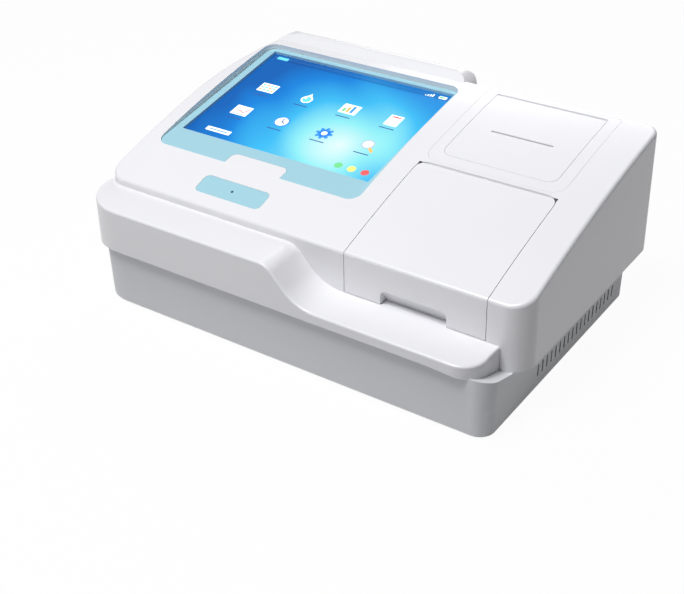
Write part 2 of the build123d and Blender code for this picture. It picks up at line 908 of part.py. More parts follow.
def make_carriage_motor():
    x1 = belt_x - 16
    half = motor_size / 2
    low = max(belt_axis_z - half, deck_plate_z)
    can = box(x1 - 34, x1, pulley_back - half, pulley_back + half, low, belt_axis_z + half)
    can = chamfer(can.edges().filter_by(Axis.X), 4)
    boss = rod_x(8, x1, x1 + 2, pulley_back, belt_axis_z)
    return can + boss - rod_x(2.5 + running_gap, x1 - 20, x1 + 3, pulley_back, belt_axis_z)


def make_belt_clamp():
    top = belt_axis_z + pulley_radius + 0.3 + belt_thick
    x1 = lid_middle - carrier_half_x
    arm = box(
        belt_x - belt_width / 2 - 2, x1 + 12, load_y - 10, load_y + 10, carrier_top, carrier_top + 1.5
    )
    jaw = box(
        belt_x - belt_width / 2 - 2,
        belt_x + belt_width / 2 + 2,
        load_y - 10,
        load_y + 10,
        top + 0.1,
        carrier_top,
    )
    return arm + jaw


def make_chamber_liner():
    inner = carrier_half_x + 2
    front = face_y + wall + 0.8
    back = lid_rear + 2
    sheet = 1.5
    low = carrier_top + 2.5
    strip_low = rod_z_axis + rod_radius + 3.4
    high = deck_z(face_y) - 14
    liner = box(lid_middle - inner, lid_middle + inner, back - sheet, back, beam_low, high)
    for x0 in (lid_middle - inner - sheet, lid_middle + inner):
        liner += box(x0, x0 + sheet, front, back, low, high)
    ledge = carrier_low + 2.5
    strip_back = rod_front + block_depth + 1
    liner += box(
        lid_middle - inner - sheet,
        lid_middle + inner + sheet,
        front,
        strip_back,
        strip_low,
        strip_low + sheet,
    )
    for x0 in (lid_middle - inner - sheet, lid_middle + inner):
        liner += box(x0, x0 + sheet, front, strip_back, strip_low, low + 1)
    right = lid_middle + inner
    for y in (front + 14, back - 22):
        liner += box(right, right + sheet, y, y + 12, deck_plate_z, ledge + 8)
        liner += box(right, right + 10, y, y + 12, deck_plate_z, deck_plate_z + sheet)
    return liner


def lens_places():
    first = lid_middle - well_pitch * (well_columns - 1) / 2
    return [first + i * well_pitch for i in range(well_columns)]


def make_optics_bridge():
    half_x = well_pitch * well_columns / 2 + 2
    post_x = carrier_half_x + 2
    y0 = optics_y - 8
    y1 = optics_y + 8
    beam = box(lid_middle - half_x, lid_middle + half_x, y0, y1, beam_low, beam_high)
    beam += box(lid_middle - post_x - 14, lid_middle + post_x + 8, y0, y1, beam_high - 5, beam_high)
    beam += box(lid_middle + post_x, lid_middle + post_x + 8, y0, y1, deck_plate_z, beam_high)
    beam += box(lid_middle - post_x - 22, lid_middle - post_x - 14, y0, y1, deck_plate_z, beam_high)
    return beam


def make_lens_barrels():
    barrels = []
    for x in lens_places():
        barrels.append(rod_z(3.2, beam_low - 6, beam_low, x, optics_y))
    return Compound(children=barrels)


def make_fibre_manifold():
    half_x = well_pitch * well_columns / 2 + 2
    block = box(
        lid_middle - half_x, lid_middle + half_x, optics_y - 7, optics_y + 7, beam_high, manifold_high
    )
    block = fillet(block.edges().filter_by(Axis.X).group_by(Axis.Z)[-1], 3)
    return block - rod_x(3.0, lid_middle - half_x - 1, lid_middle - half_x + 12, optics_y, light_z)


def make_detector_bar():
    half_x = well_pitch * well_columns / 2
    bar = box(
        lid_middle - half_x,
        lid_middle + half_x,
        optics_y - 7,
        optics_y + 7,
        deck_plate_z,
        carrier_low - 1.5,
    )
    slot = box(
        lid_middle - half_x + 3,
        lid_middle + half_x - 3,
        optics_y - 2.5,
        optics_y + 2.5,
        carrier_low - 4,
        carrier_low,
    )
    return bar - slot


def make_filter_housing():
    x0 = wheel_x - 13
    x1 = wheel_x + 13
    reach = wheel_radius + 4
    cheek_low = deck_plate_z
    housing = box(x0, x1, optics_y - reach, optics_y + reach, cheek_low, deck_plate_z + 2)
    for low in (x0, x1 - 3):
        cheek = box(low, low + 3, optics_y - reach, optics_y + reach, cheek_low, light_z + 9)
        housing += fillet(cheek.edges().filter_by(Axis.X).group_by(Axis.Z)[-1], 12)
    housing -= rod_x(filter_radius, x0 - 1, x1 + 1, optics_y, light_z)
    return housing - rod_x(8.2, x0 - 1, x0 + 4, optics_y, wheel_z)


def make_filter_wheel():
    disc = rod_x(wheel_radius, wheel_x - wheel_thick / 2, wheel_x + wheel_thick / 2, optics_y, wheel_z)
    disc += rod_x(6, wheel_x - wheel_thick / 2 - 3, wheel_x, optics_y, wheel_z)
    for y, z in filter_places():
        disc -= rod_x(filter_radius, wheel_x - 9, wheel_x + 9, y, z)
    disc -= rod_x(1.5, wheel_x - 9, wheel_x + 9, optics_y, wheel_z + wheel_radius)
    return disc - rod_x(2.5 + running_gap, wheel_x - 9, wheel_x + 9, optics_y, wheel_z)


def filter_places():
    turns = [2 * pi * i / filter_count for i in range(filter_count)]
    return [(optics_y + filter_circle * sin(t), wheel_z + filter_circle * cos(t)) for t in turns]


def make_colour_filters():
    discs = []
    for y, z in filter_places():
        discs.append(rod_x(filter_radius - 0.05, wheel_x - 1.5, wheel_x + 1.5, y, z))
    return Compound(children=discs)


def make_filter_motor():
    x0 = wheel_x - 13
    can = rod_x(12, x0 - 22, x0 - 0.1, optics_y, wheel_z) + rod_x(
        8, x0 - 0.1, x0 + 3, optics_y, wheel_z
    )
    return can + rod_x(2.5, x0, wheel_x + wheel_thick / 2, optics_y, wheel_z)


def make_lamp_housing():
    x1 = wheel_x - 13 - 24
    x0 = x1 - lamp_box_length
    half = lamp_box_height / 2
    shell = box(x0, x1, optics_y - half, optics_y + half, light_z - half - 3, light_z + half - 3)
    shell -= box(
        x0 + 2, x1 - 2, optics_y - half + 2, optics_y + half - 2, light_z - half - 1, light_z + half
    )
    for i in range(4):
        y = optics_y - half - 5
        z = light_z - half + 2 + 6 * i
        shell += box(x0, x1, y, y + 6, z, z + 1.5)
    shell += box(x0 + 6, x1 - 6, optics_y - 8, optics_y + 8, deck_plate_z, light_z - half - 2)
    return shell - rod_x(6.1, x1 - 3, x1 + 1, optics_y, light_z)


def make_halogen_lamp():
    x1 = wheel_x - 13 - 24 - 14
    x0 = x1 - 18
    base = box(x0 - 2, x0 + 7, optics_y - 5, optics_y + 5, light_z - 16, light_z - 6)
    bulb = rod_z(5, light_z - 6, light_z + 4, x0 + 4, optics_y)
    return base + chamfer(bulb.edges().group_by(Axis.Z)[-1], 2)


def make_condenser_lens():
    x1 = wheel_x - 13 - 24
    tube = rod_x(6, x1 - 4, wheel_x - 13 - 0.2, optics_y, light_z)
    return tube


def make_fibre_bundle():
    start_x = wheel_x + 10.2
    end_x = lid_middle - well_pitch * well_columns / 2 - 2 + 11.8
    return rod_x(2.9, start_x, end_x, optics_y, light_z)


def make_printer_frame():
    plate = (cover_core(0.01) - cover_core(wall)) & upward(frame_face(0), rim_z, deck_rear_z + 9)
    plate -= upward(door_face(seam + 0.2), rim_z, deck_rear_z + 10)
    rim_top = under_deck(frame_left, frame_right, frame_front - 9, frame_rear + 9, 0, wall - 0.2)
    rim_low = under_deck(frame_left, frame_right, frame_front - 9, frame_rear + 9, 0, wall + frame_rim)
    rim = upward(offset(door_face(0), 4) - door_face(seam + 0.2), rim_z, deck_rear_z)
    plate += rim & (rim_top - rim_low)
    plate -= rod_x(hinge_depth + seam + 0.2, door_left, door_right, door_pin_y, door_pin_z)
    for ear in hinge_brackets(door_spans(), door_pin_y, door_pin_z, door_rear_gap - 0.5):
        plate += ear
    return plate


def door_spans():
    reach = door_width / 2 - 18
    return [(lid_middle + side * reach - 6, lid_middle + side * reach + 6) for side in (-1, 1)]


def make_printer_door():
    door = (cover_core(0.01) - cover_core(wall)) & upward(door_face(0), rim_z, deck_rear_z + 9)
    tail = box(
        door_left - 1, door_right + 1, door_pin_y, door_rear + 1, door_pin_z - 9, deck_rear_z + 9
    )
    door -= tail - rod_x(hinge_depth, door_left - 2, door_right + 2, door_pin_y, door_pin_z)
    slit = box(
        lid_middle - slit_width / 2,
        lid_middle + slit_width / 2,
        slit_y - slit_length / 2,
        slit_y + slit_length / 2,
        rim_z,
        999,
    )
    door -= slit
    for low, high in door_spans():
        knuckle = rod_x(hinge_depth - 0.4, low, high, door_pin_y, door_pin_z)
        knuckle += box(low, high, door_pin_y - 3.6, door_pin_y, door_pin_z, door_pin_z + 3)
        knuckle &= under_deck(low, high, door_pin_y - 9, door_rear + 9, 0, 0.5)
        door += knuckle
        door -= rod_x(hinge_pin_radius + running_gap, low - 9, high + 9, door_pin_y, door_pin_z)
    for cut in ear_clearance(door_spans(), door_pin_y, door_pin_z):
        door -= cut
    return door


def make_door_pins():
    pins = []
    for low, high in door_spans():
        pins.append(
            rod_x(hinge_pin_radius, low - ear_gap - wall, high + ear_gap + wall, door_pin_y, door_pin_z)
        )
    return Compound(children=pins)


def make_printer_tub():
    tub = box(
        tub_left - tub_wall,
        tub_right + tub_wall,
        tub_front - tub_wall,
        tub_rear + tub_wall,
        tub_low - tub_wall,
        deck_rear_z,
    )
    tub &= under_deck(tub_left - 9, tub_right + 9, tub_front - 9, tub_rear + 9, 0, wall + 4.6)
    tub -= box(tub_left, tub_right, tub_front, tub_rear, tub_low, deck_rear_z)
    tub -= rod_x(3, tub_left - 9, tub_right + 9, platen_y, platen_z)
    ear_low = door_pin_z - 2 * hinge_depth - 1.5
    tub -= box(
        tub_left - 9,
        tub_right + 9,
        door_pin_y - ear_radius - ear_gap,
        tub_rear + 9,
        ear_low,
        deck_rear_z,
    )
    stub = tub_side_gap + 5
    for x0, x1 in ((tub_left - 0.5, tub_left + stub), (tub_right - stub, tub_right + 0.5)):
        tub += rod_x(roll_core - running_gap, x0, x1, roll_y, roll_z)
    return tub


def make_paper_roll():
    x0 = lid_middle - roll_width / 2
    x1 = lid_middle + roll_width / 2
    roll = rod_x(roll_radius, x0, x1, roll_y, roll_z)
    return roll - rod_x(roll_core, x0 - 1, x1 + 1, roll_y, roll_z)


def make_platen_roller():
    x0 = lid_middle - roll_width / 2
    x1 = lid_middle + roll_width / 2
    roller = rod_x(platen_radius, x0, x1, platen_y, platen_z)
    return roller + rod_x(
        3 - running_gap, tub_left - tub_wall - 9, tub_right + tub_wall + 1, platen_y, platen_z
    )


def gear(radius, teeth, x0, x1, y, z, turn=0.0):
    """Spur gear with flat-sided teeth; radius is that of its pitch circle."""
    points = []
    for i in range(teeth):
        for share, reach in ((-0.30, -0.8), (-0.16, 0.8), (0.16, 0.8), (0.30, -0.8)):
            angle = turn + 2 * pi * (i + share) / teeth
            points.append((y + (radius + reach) * cos(angle), z + (radius + reach) * sin(angle)))
    return across(polygon(*points), x0, x1)


def make_platen_gear():
    x0 = tub_left - tub_wall - 6
    disc = gear(7.0, 14, x0, x0 + 4, platen_y, platen_z)
    return disc - rod_x(3 - running_gap, x0 - 1, x0 + 5, platen_y, platen_z)


feed_z = platen_z - 7.8 - 4.4 - 0.1


def make_feed_gear():
    x0 = tub_left - tub_wall - 6
    disc = gear(3.6, 7, x0, x0 + 4, platen_y, feed_z, pi / 7)
    return disc + rod_x(1.2, x0 - 0.2, x0 + 5.5, platen_y, feed_z)


def make_feed_motor():
    x1 = tub_left - tub_wall - 6.4
    can = rod_x(9, x1 - 20, x1, platen_y, feed_z) - rod_x(1.3, x1 - 3, x1 + 1, platen_y, feed_z)
    return can


def make_print_head():
    high = platen_z + 2
    y1 = platen_y - platen_radius - 0.3
    head = box(lid_middle - slit_width / 2, lid_middle + slit_width / 2, y1 - 4, y1, high - 16, high)
    foot = box(tub_left + 0.3, tub_right - 0.3, tub_front + 0.3, y1 - 4, high - 16, high - 13)
    return head + foot


def make_screen_bezel():
    bezel = on_screen(screen_face(0), -bezel_thick, 0)
    bezel -= on_screen(window_face(0), -bezel_thick - 1, 1)
    return bezel - on_screen(notch_face(0), -bezel_thick - 1, 1)


def make_touch_glass():
    return on_screen(window_face(3), -bezel_thick - 1.8, -bezel_thick)


def make_display_module():
    return on_screen(window_face(2.5), -bezel_thick - 9.8, -bezel_thick - 1.8)


def make_display_bracket():
    low = -bezel_thick - 12
    tray = on_screen(window_face(4.4), low, -bezel_thick - 2)
    tray -= on_screen(window_face(2.8), low + 1.5, -bezel_thick)
    left = window_x + 30
    for x0 in (left, window_x + window_width - 60):
        opening = rounded(x0, x0 + 30, window_front + 25, window_front + window_depth - 25, 6, 6, 6, 6)
        tray -= on_screen(opening, low - 1, low + 2)
    return tray


def make_status_badge():
    badge = upward(badge_face(0), shelf_z, deck_rear_z) & under_deck(
        -side_x, side_x, shelf_y, rear_y, 0, 0.1
    )
    badge -= under_deck(-side_x, side_x, shelf_y, rear_y, 0, badge_thick)
    return badge - rod_z(
        1.4, shelf_z, deck_rear_z, badge_x + badge_width / 2, badge_y + badge_depth / 2
    )


def make_status_light():
    x = badge_x + badge_width / 2
    y = badge_y + badge_depth / 2
    light = rod_z(1.35, shelf_z, deck_rear_z, x, y) & under_deck(
        -side_x, side_x, shelf_y, rear_y, 0, 0.3
    )
    return light - under_deck(-side_x, side_x, shelf_y, rear_y, 0, badge_thick)


def make_rear_panel():
    face_back = back_y + panel_thick
    plate = box(
        panel_x - panel_width / 2,
        panel_x + panel_width / 2,
        face_back - panel_thick,
        face_back,
        panel_low,
        panel_high,
    )
    plate = fillet(plate.edges().filter_by(Axis.Y), 3)
    for cut in panel_cuts(0):
        plate -= cut
    return plate


def make_power_inlet():
    face_back = back_y + panel_thick
    depth = 24
    body = box(
        inlet_x - 13.3, inlet_x + 13.3, face_back - depth, face_back, panel_mid - 9.8, panel_mid + 9.8
    )
    flange = box(inlet_x - 17, inlet_x + 17, face_back, face_back + 2, panel_mid - 13, panel_mid + 13)
    flange = fillet(flange.edges().filter_by(Axis.Y), 3)
    socket = box(
        inlet_x - 11.8, inlet_x + 11.8, face_back - 15, face_back + 3, panel_mid - 8, panel_mid + 8
    )
    socket = chamfer(socket.edges().filter_by(Axis.Y).group_by(Axis.Z)[-1], 3)
    inlet = body + flange - socket
    for x, z in ((inlet_x - 7, panel_mid - 2), (inlet_x, panel_mid + 2), (inlet_x + 7, panel_mid - 2)):
        inlet += box(x - 1, x + 1, face_back - 16, face_back - 3, z - 2, z + 2)
    return inlet


def make_switch_frame():
    face_back = back_y + panel_thick
    body = box(
        switch_x - 6.3, switch_x + 6.3, face_back - 14, face_back, panel_mid - 9.5, panel_mid + 9.5
    )
    lip = box(
        switch_x - 8, switch_x + 8, face_back, face_back + 1.6, panel_mid - 11.5, panel_mid + 11.5
    )
    frame = body + lip
    frame -= box(
        switch_x - 5.2, switch_x + 5.2, face_back - 9, face_back + 3, panel_mid - 8.6, panel_mid + 8.6
    )
    return frame + rod_x(1.0, switch_x - 5.3, switch_x + 5.3, face_back - 3, panel_mid)


def make_power_rocker():
    """Rocker with two flats that meet over its pivot."""
    face_back = back_y + panel_thick
    axis_y = face_back - 3
    outline = [
        (axis_y - 3, panel_mid - 3),
        (axis_y, panel_mid - 7.4),
        (axis_y + 6.2, panel_mid - 7.4),
        (axis_y + 4.2, panel_mid),
    ]
    mirror = [(y, 2 * panel_mid - z) for y, z in reversed(outline[:3])]
    rocker = across(polygon(*outline, *mirror), switch_x - 4.9, switch_x + 4.9)
    rocker -= rod_x(1.0 + running_gap, switch_x - 9, switch_x + 9, axis_y, panel_mid)
    return rocker.rotate(Axis((0, axis_y, panel_mid), (1, 0, 0)), -switch_tilt)


def make_usb_ports():
    face_back = back_y + panel_thick
    ports = []
    for x in (usb_x, usb_x + 20):
        shell = box(x - 6.5, x + 6.5, face_back - 14, face_back + 0.6, panel_mid - 2.7, panel_mid + 2.7)
        shell -= box(x - 6, x + 6, face_back - 12, face_back + 1, panel_mid - 2.2, panel_mid + 2.2)
        ports.append(
            shell + box(x - 5.5, x + 5.5, face_back - 13, face_back - 2, panel_mid, panel_mid + 1.4)
        )
    return Compound(children=ports)


def make_serial_port():
    face_back = back_y + panel_thick
    port = box(
        serial_x - 8.4, serial_x + 8.4, face_back - 12, face_back + 5, panel_mid - 4.3, panel_mid + 4.3
    )
    port = chamfer(port.edges().filter_by(Axis.Y).group_by(Axis.Z)[0], 2)
    port -= box(
        serial_x - 7.6, serial_x + 7.6, face_back - 1, face_back + 6, panel_mid - 2.2, panel_mid + 3.5
    )
    port += box(serial_x - 15, serial_x + 15, face_back, face_back + 0.8, panel_mid - 6, panel_mid + 6) - box(
        serial_x - 8, serial_x + 8, face_back - 1, face_back + 2, panel_mid - 4, panel_mid + 4
    )
    return port


def make_main_board():
    x0 = -side_x + base_inset + wall + board_side_gap
    y0 = face_y + board_front_gap
    top = floor_z + board_lift + board_thick
    board = box(x0, x0 + board_width, y0, y0 + board_depth, floor_z + board_lift, top)
    for chip_x, chip_y, size_x, size_y, height in board_chips:
        x = x0 + chip_x
        y = y0 + chip_y
        board += box(x - size_x / 2, x + size_x / 2, y - size_y / 2, y + size_y / 2, top, top + height)
    for x in (x0 + board_post_inset, x0 + board_width - board_post_inset):
        for y in (y0 + board_post_inset, y0 + board_depth - board_post_inset):
            board += rod_z(3, floor_z, floor_z + board_lift, x, y)
    return board


def make_power_supply():
    x1 = side_x - base_inset - wall - fan_depth - 30
    y1 = back_y - wall - supply_rear_gap
    top = floor_z + supply_height
    unit = box(x1 - supply_width, x1, y1 - supply_depth, y1, floor_z, top)
    for i in range(supply_slots):
        y = y1 - supply_depth + 10 + i * 11
        unit -= box(x1 - supply_width + 10, x1 - 10, y, y + 4, top - 1.5, top + 1)
    return unit


def fan_place():
    return side_x - base_inset - wall - fan_depth - 2, face_y + vent_first + vent_pitch * 9


def make_fan_frame():
    x0, y = fan_place()
    half = fan_size / 2
    z = floor_z + half
    frame = box(x0, x0 + fan_depth, y - half, y + half, floor_z, floor_z + fan_size)
    frame = fillet(frame.edges().filter_by(Axis.X), 3) - rod_x(
        half - 1.5, x0 - 1, x0 + fan_depth + 1, y, z
    )
    for turn in (0, 1, 2):
        spoke = Location((x0 + 0.8, y, z), (45 + 120 * turn, 0, 0)) * Box(1.6, 2.5, half - 1)
        angle = radians(45 + 120 * turn)
        spoke = spoke.translate((0, -sin(angle) * (half - 1) / 2, cos(angle) * (half - 1) / 2))
        frame += spoke
    return frame + rod_x(9, x0, x0 + 1.6, y, z) + rod_x(1.5, x0, x0 + 7, y, z)


def make_fan_rotor():
    x0, y = fan_place()
    half = fan_size / 2
    z = floor_z + half
    rotor = rod_x(9, x0 + 1.9, x0 + fan_depth - 0.6, y, z)
    for i in range(7):
        blade = box(x0 + 3, x0 + 8.4, -0.8, 0.8, 8, half - 2.2)
        blade = blade.rotate(Axis.Z, 0).translate((-x0 - 5.7, 0, 0))
        blade = Rotation(0, 0, 28) * blade
        blade = Location((x0 + 5.7, y, z)) * (Rotation(360 * i / 7, 0, 0) * blade)
        rotor += blade & rod_x(half - 2.2, x0 + 2, x0 + fan_depth - 0.7, y, z)
    return rotor - rod_x(1.5 + running_gap, x0, x0 + 7.3, y, z)


def make_rubber_feet():
    feet = []
    for x in (-side_x + base_inset + 34, side_x - base_inset - 24):
        for y in (shelf_y + base_front_inset + 32, back_y - 28):
            foot = Location((x, y, 0)) * Cone(
                8.5, 9.5, foot_height, align=(Align.CENTER, Align.CENTER, Align.MIN)
            )
            feet.append(foot)
    return Compound(children=feet)


def make_cover_screws():
    """Cap screws that hold the chassis plate on its posts."""
    screws = []
    for x, y in chassis_posts():
        head = rod_z(3, deck_plate_z, deck_plate_z + 2.4, x, y)
        screws.append(head + rod_z(1.25, deck_plate_z - 9, deck_plate_z + 0.5, x, y))
    return Compound(children=screws)


pieces = {
    "base_housing": make_base_housing,
    "top_cover": make_top_cover,
    "front_fascia": make_front_fascia,
    "rubber_feet": make_rubber_feet,
    "plate_lid": make_plate_lid,
    "lid_hinge_pins": make_hinge_pins,
    "screen_bezel": make_screen_bezel,
    "touch_glass": make_touch_glass,
    "display_module": make_display_module,
    "display_bracket": make_display_bracket,
    "status_badge": make_status_badge,
    "status_light": make_status_light,
    "printer_frame": make_printer_frame,
    "printer_door": make_printer_door,
    "door_hinge_pins": make_door_pins,
    "printer_tub": make_printer_tub,
    "paper_roll": make_paper_roll,
    "platen_roller": make_platen_roller,
    "platen_gear": make_platen_gear,
    "feed_gear": make_feed_gear,
    "feed_motor": make_feed_motor,
    "print_head": make_print_head,
    "chassis_plate": make_chassis_plate,
    "chassis_posts": make_chassis_posts,
    "chassis_screws": make_cover_screws,
    "chamber_liner": make_chamber_liner,
    "guide_rods": make_guide_rods,
    "rod_blocks": make_rod_blocks,
    "plate_carrier": make_plate_carrier,
    "carrier_bushes": make_carrier_bushes,
    "belt_clamp": make_belt_clamp,
    "drive_belt": make_drive_belt,
    "motor_pulley": make_motor_pulley,
    "idler_pulley": make_idler_pulley,
    "idler_bracket": make_idler_bracket,
    "carriage_motor": make_carriage_motor,
    "optics_bridge": make_optics_bridge,
    "lens_barrels": make_lens_barrels,
    "fibre_manifold": make_fibre_manifold,
    "fibre_bundle": make_fibre_bundle,
    "detector_bar": make_detector_bar,
    "filter_housing": make_filter_housing,
    "filter_wheel": make_filter_wheel,
    "colour_filters": make_colour_filters,
    "filter_motor": make_filter_motor,
    "condenser_lens": make_condenser_lens,
    "lamp_housing": make_lamp_housing,
    "halogen_lamp": make_halogen_lamp,
    "main_board": make_main_board,
    "power_supply": make_power_supply,
    "fan_frame": make_fan_frame,
    "fan_rotor": make_fan_rotor,
    "rear_panel": make_rear_panel,
    "power_inlet": make_power_inlet,
    "switch_frame": make_switch_frame,
    "power_rocker": make_power_rocker,
    "usb_ports": make_usb_ports,
    "serial_port": make_serial_port,
}

os.makedirs("parts", exist_ok=True)
for name, make_piece in pieces.items():
    export_step(make_piece(), f"parts/{name}.step")
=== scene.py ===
import json
import math
from math import cos, pi, radians, sin
import bpy
from mathutils import Euler, Matrix, Vector


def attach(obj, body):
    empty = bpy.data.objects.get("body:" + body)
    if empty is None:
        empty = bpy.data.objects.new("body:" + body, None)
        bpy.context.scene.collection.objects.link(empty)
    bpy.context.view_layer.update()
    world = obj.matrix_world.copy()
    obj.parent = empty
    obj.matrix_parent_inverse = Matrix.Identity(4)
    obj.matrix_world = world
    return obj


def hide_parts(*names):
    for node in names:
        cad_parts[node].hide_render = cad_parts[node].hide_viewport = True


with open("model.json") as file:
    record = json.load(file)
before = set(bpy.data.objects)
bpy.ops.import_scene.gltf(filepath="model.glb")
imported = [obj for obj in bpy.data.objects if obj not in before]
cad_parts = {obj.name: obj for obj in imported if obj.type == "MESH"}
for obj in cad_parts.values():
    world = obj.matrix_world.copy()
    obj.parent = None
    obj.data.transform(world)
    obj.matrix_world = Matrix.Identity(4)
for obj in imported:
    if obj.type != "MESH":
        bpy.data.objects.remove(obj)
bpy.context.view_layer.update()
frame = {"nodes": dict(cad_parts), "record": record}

print("stage: frame loaded")


# seen from the front right, a little above the screen
cameraFacts = {
    "place": (0.5940, -0.8932, 0.6639),
    "azimuth": 34.83,
    "elevation": 29.8,
    "roll": -1.09,
    "focalPixels": 1261.7,
    "middlePixel": (345.9, 242.7),
    "imageSize": (684, 594),
    "sensorWidth": 36,
    "nearest": 0.01,
}


def addCamera(facts):
    data = bpy.data.cameras.new("benchCamera")
    cam = bpy.data.objects.new("benchCamera", data)
    bpy.context.collection.objects.link(cam)
    width, height = facts["imageSize"]
    data.sensor_fit = "HORIZONTAL"
    data.sensor_width = facts["sensorWidth"]
    data.lens = facts["focalPixels"] / width * facts["sensorWidth"]
    data.shift_x = (width / 2 - facts["middlePixel"][0]) / width
    data.shift_y = (facts["middlePixel"][1] - height / 2) / width
    data.clip_start = facts["nearest"]
    turn = Euler((pi / 2 - radians(facts["elevation"]), 0, radians(facts["azimuth"])))
    turn = turn.to_matrix()
    turn = turn @ Matrix.Rotation(radians(facts["roll"]), 3, "Z")
    cam.matrix_world = Matrix.Translation(facts["place"]) @ turn.to_4x4()
    bpy.context.scene.camera = cam


addCamera(cameraFacts)
bpy.context.scene.view_settings.view_transform = "Standard"
print("stage: camera set")


def newMaterial(name):
    mat = bpy.data.materials.new(name)
    mat.use_nodes = True
    mat.node_tree.nodes.clear()
    return mat, mat.node_tree.nodes, mat.node_tree.links


def addNode(nodes, kind, **settings):
    node = nodes.new(kind)
    for key, value in settings.items():
        setattr(node, key, value)
    return node


def newGroup(name, inputs, outputs):
    group = bpy.data.node_groups.new(name, "ShaderNodeTree")
    for label, kind, value in inputs:
        socket = group.interface.new_socket(name=label, in_out="INPUT", socket_type=kind)
        socket.default_value = value
    for label, kind in outputs:
        group.interface.new_socket(name=label, in_out="OUTPUT", socket_type=kind)
    return group, group.nodes.new("NodeGroupInput"), group.nodes.new("NodeGroupOutput")


def feed(links, socket, value):
    if isinstance(value, bpy.types.NodeSocket):
        links.new(value, socket)
    else:
        socket.default_value = value


def mixColours(nodes, links, factor, first, second, blend="MIX"):
    mix = addNode(nodes, "ShaderNodeMix", data_type="RGBA", blend_type=blend)
    for place, value in ((0, factor), (6, first), (7, second)):  # the colour sockets are 6 and 7
        feed(links, mix.inputs[place], value)
    return mix.outputs[2]


def maths(nodes, links, operation, first, second=0.0, third=None):
    node = addNode(nodes, "ShaderNodeMath", operation=operation)
    values = [first, second] if third is None else [first, second, third]
    for socket, value in zip(node.inputs, values):
        feed(links, socket, value)
    return node.outputs[0]


def addNoise(nodes, links, vector, scale, detail=2.0):
    noise = addNode(nodes, "ShaderNodeTexNoise")
    for label, value in (("Vector", vector), ("Scale", scale), ("Detail", detail)):
        feed(links, noise.inputs[label], value)
    return noise.outputs["Fac"]


def objectPlace(nodes):
    return addNode(nodes, "ShaderNodeTexCoord").outputs["Object"]


def addShader(nodes, links, values):
    shader = addNode(nodes, "ShaderNodeBsdfPrincipled")
    for label, value in values.items():
        feed(links, shader.inputs[label], value)
    out = addNode(nodes, "ShaderNodeOutputMaterial")
    links.new(shader.outputs[0], out.inputs[0])


def shadeByLift(nodes, links, lift, amount, start, end, glossSpread):
    # the same lift makes the colour lighter or darker and the surface duller or glossier
    shade = maths(nodes, links, "MULTIPLY_ADD", lift, amount, 1.0)
    tint = addNode(nodes, "ShaderNodeCombineColor")
    for socket in tint.inputs[:3]:
        links.new(shade, socket)
    colour = mixColours(nodes, links, 1.0, start.outputs["Colour"], tint.outputs[0], "MULTIPLY")
    gloss = maths(nodes, links, "MULTIPLY_ADD", lift, glossSpread, start.outputs["Gloss"])
    links.new(colour, end.inputs["Colour"])
    links.new(gloss, end.inputs["Roughness"])


groupOutputs = [
    ("Colour", "NodeSocketColor"),
    ("Roughness", "NodeSocketFloat"),
    ("Height", "NodeSocketFloat"),
]
mouldedFacts = {"grainDetail": 3, "flowScale": 9, "flowDetail": 4}
brushedFacts = {"lineDetail": 5, "shadeSpread": 0.25, "glossSpread": 0.35}


def makeMouldedGroup(facts):
    # fine spark-eroded grain of a moulding, with faint flow marks in its colour and gloss
    inputs = [
        ("Colour", "NodeSocketColor", (0.8, 0.8, 0.8, 1)),
        ("GrainScale", "NodeSocketFloat", 1800.0),
        ("FlowAmount", "NodeSocketFloat", 0.03),
        ("Gloss", "NodeSocketFloat", 0.3),
        ("GlossSpread", "NodeSocketFloat", 0.08),
    ]
    group, start, end = newGroup("mouldedSurface", inputs, groupOutputs)
    nodes, links = group.nodes, group.links
    place = objectPlace(nodes)
    grain = addNoise(nodes, links, place, start.outputs["GrainScale"], facts["grainDetail"])
    flow = addNoise(nodes, links, place, facts["flowScale"], facts["flowDetail"])
    lift = maths(nodes, links, "SUBTRACT", flow, 0.5)
    amount, spread = start.outputs["FlowAmount"], start.outputs["GlossSpread"]
    shadeByLift(nodes, links, lift, amount, start, end, spread)
    links.new(grain, end.inputs["Height"])
    return group


def makeBrushedGroup(facts):
    # long fine scratches drawn along one axis of the sheet
    inputs = [
        ("Colour", "NodeSocketColor", (0.6, 0.6, 0.6, 1)),
        ("Stretch", "NodeSocketVector", (40, 900, 900)),
        ("Gloss", "NodeSocketFloat", 0.3),
    ]
    group, start, end = newGroup("brushedSurface", inputs, groupOutputs)
    nodes, links = group.nodes, group.links
    scale = addNode(nodes, "ShaderNodeVectorMath", operation="MULTIPLY")
    links.new(objectPlace(nodes), scale.inputs[0])
    links.new(start.outputs["Stretch"], scale.inputs[1])
    lines = addNoise(nodes, links, scale.outputs[0], 1, facts["lineDetail"])
    lift = maths(nodes, links, "SUBTRACT", lines, 0.5)
    shadeByLift(nodes, links, lift, facts["shadeSpread"], start, end, facts["glossSpread"])
    links.new(lines, end.inputs["Height"])
    return group


mouldedGroup = makeMouldedGroup(mouldedFacts)
brushedGroup = makeBrushedGroup(brushedFacts)
print("stage: surface groups built")


surfaceFacts = {"coatRoughness": 0.12, "specular": 0.5, "reliefDistance": 0.00012, "spread": 0.08}
glassFacts = {"flow": 0.02, "glossSpread": 0.02, "transmission": 0.9, "index": 1.47}


def addEffect(nodes, group, values):
    effect = addNode(nodes, "ShaderNodeGroup", node_tree=group)
    for label, value in values.items():
        effect.inputs[label].default_value = value
    return effect


